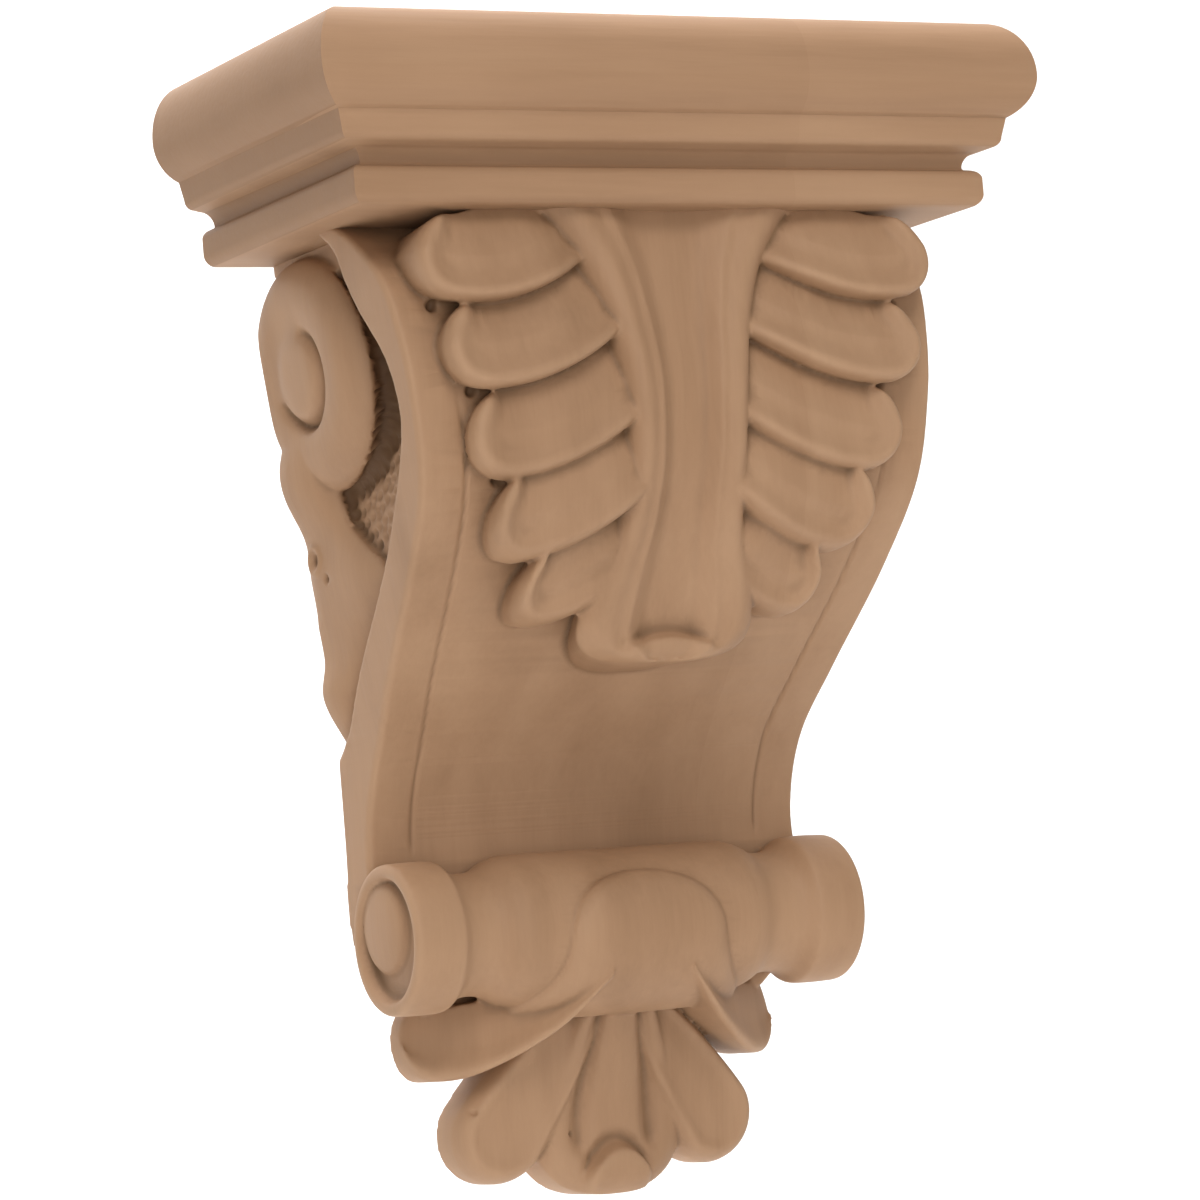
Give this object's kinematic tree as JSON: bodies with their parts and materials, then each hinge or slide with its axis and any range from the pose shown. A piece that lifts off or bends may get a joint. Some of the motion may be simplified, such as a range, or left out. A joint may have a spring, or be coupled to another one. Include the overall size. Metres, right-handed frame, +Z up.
{
  "type": "carved wooden corbel",
  "caption": "Carved wooden wall corbel with a moulded cap, a lobed leaf front, volute flanks, a turned roll and a fluted leaf drop, made to carry a shelf or beam.",
  "frame": {"origin": "on the flat back face where it meets the wall, on the centre line, halfway up", "axes": "+Z up, +Y into the wall, the carved front looks towards -Y, +X to the viewer's right"},
  "size_m": [0.208, 0.106, 0.2998],
  "materials": {
    "carved_wood": "raw sanded tan hardwood, fine straight grain, matt"
  },
  "bodies": {
    "root": {"corbel": "carved_wood"}
  },
  "joints": []
}
